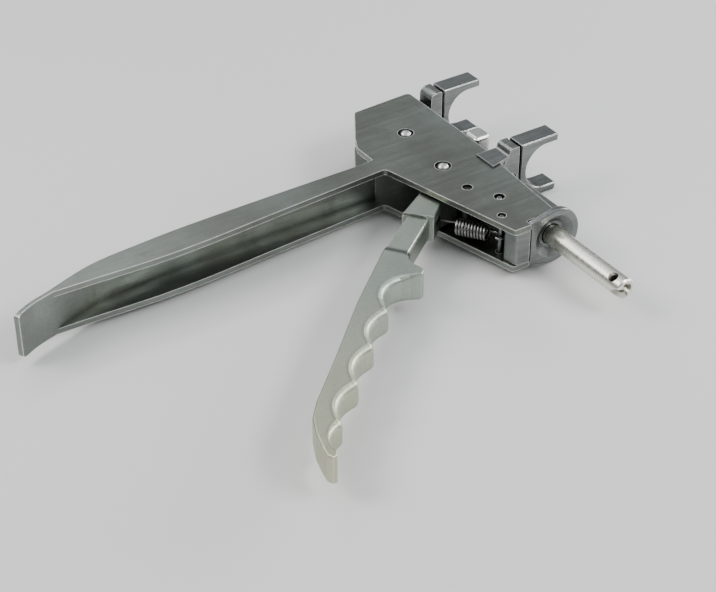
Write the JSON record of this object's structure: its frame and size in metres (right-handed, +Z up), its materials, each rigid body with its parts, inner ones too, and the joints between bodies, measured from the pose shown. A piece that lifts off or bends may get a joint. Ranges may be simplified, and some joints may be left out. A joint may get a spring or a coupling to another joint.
{
  "type": "hand lever flaring and sleeve press tool",
  "caption": "Lever-operated hand press for plumbing: folded steel frame with a fixed handle, squeeze lever, sliding ram rod and open yokes facing each other.",
  "frame": {"origin": "centre of the rear end face of the ram rod, on the axis of the rod and midway between the side plates", "axes": "the tool lies flat: +Z up through the upper side plate, -Y the way the rod points out of the collar and the way the ram presses, +X the side the yokes stand out, handles towards -X"},
  "size_m": [0.2482, 0.1878, 0.028],
  "materials": {
    "frame_steel": "dull zinc-plated sheet with bright cut edges",
    "machined_steel": "machined, lightly oiled",
    "bright_steel": "bright turned steel",
    "dark_steel": "blackened",
    "rod_steel": "ground bar",
    "cast_alloy": "tumbled casting",
    "spring_steel": "bright spring wire"
  },
  "bodies": {
    "frame_body": {"frame": "frame_steel", "guide_block": "machined_steel", "front_collar": "machined_steel", "lever_pivot_pin": "bright_steel", "rear_spacer": "bright_steel", "stop_pin": "dark_steel", "guide_rivet": "machined_steel", "spring_anchor_pin": "machined_steel", "release_fulcrum_pin": "dark_steel", "thrust_washer_top": "bright_steel", "thrust_washer_bottom": "bright_steel", "lever_spring": "spring_steel", "drive_spring": "spring_steel", "release_spring": "spring_steel", "fixed_jaw_bracket": "machined_steel", "fixed_yoke": "machined_steel", "fixed_yoke_pin": "bright_steel"},
    "lever_body": {"lever": "cast_alloy", "drive_pin": "bright_steel", "spring_post": "dark_steel"},
    "drive_body": {"drive_plate_rear": "dark_steel", "drive_plate_front": "dark_steel"},
    "release_body": {"release_plate": "bright_steel"},
    "ram_body": {"ram_rod": "rod_steel", "carriage": "machined_steel", "carriage_pin": "bright_steel", "moving_yoke": "machined_steel", "moving_yoke_pin": "bright_steel"}
  },
  "joints": [
    {"name": "lever_pivot", "type": "hinge", "parent": "frame_body", "child": "lever_body", "pos_m": [-0.0158, -0.0566, 0], "axis": [0, 0, -1], "range_deg": [0, 38], "deforming": ["lever_spring"]},
    {"name": "drive_grip", "type": "slide", "parent": "frame_body", "child": "drive_body", "axis": [0, -1, 0], "range_m": [0, 0.0053], "deforming": ["drive_spring"]},
    {"name": "release_pivot", "type": "hinge", "parent": "frame_body", "child": "release_body", "pos_m": [-0.011, -0.0425, 0], "axis": [0, 0, -1], "range_deg": [0, 6], "deforming": ["release_spring"]},
    {"name": "ram_stroke", "type": "slide", "parent": "frame_body", "child": "ram_body", "axis": [0, -1, 0], "range_m": [0, 0.025]}
  ],
  "couplings": [
    {"joint": "drive_grip", "follows": "lever_pivot", "m_per_rad": 0.00786}
  ]
}
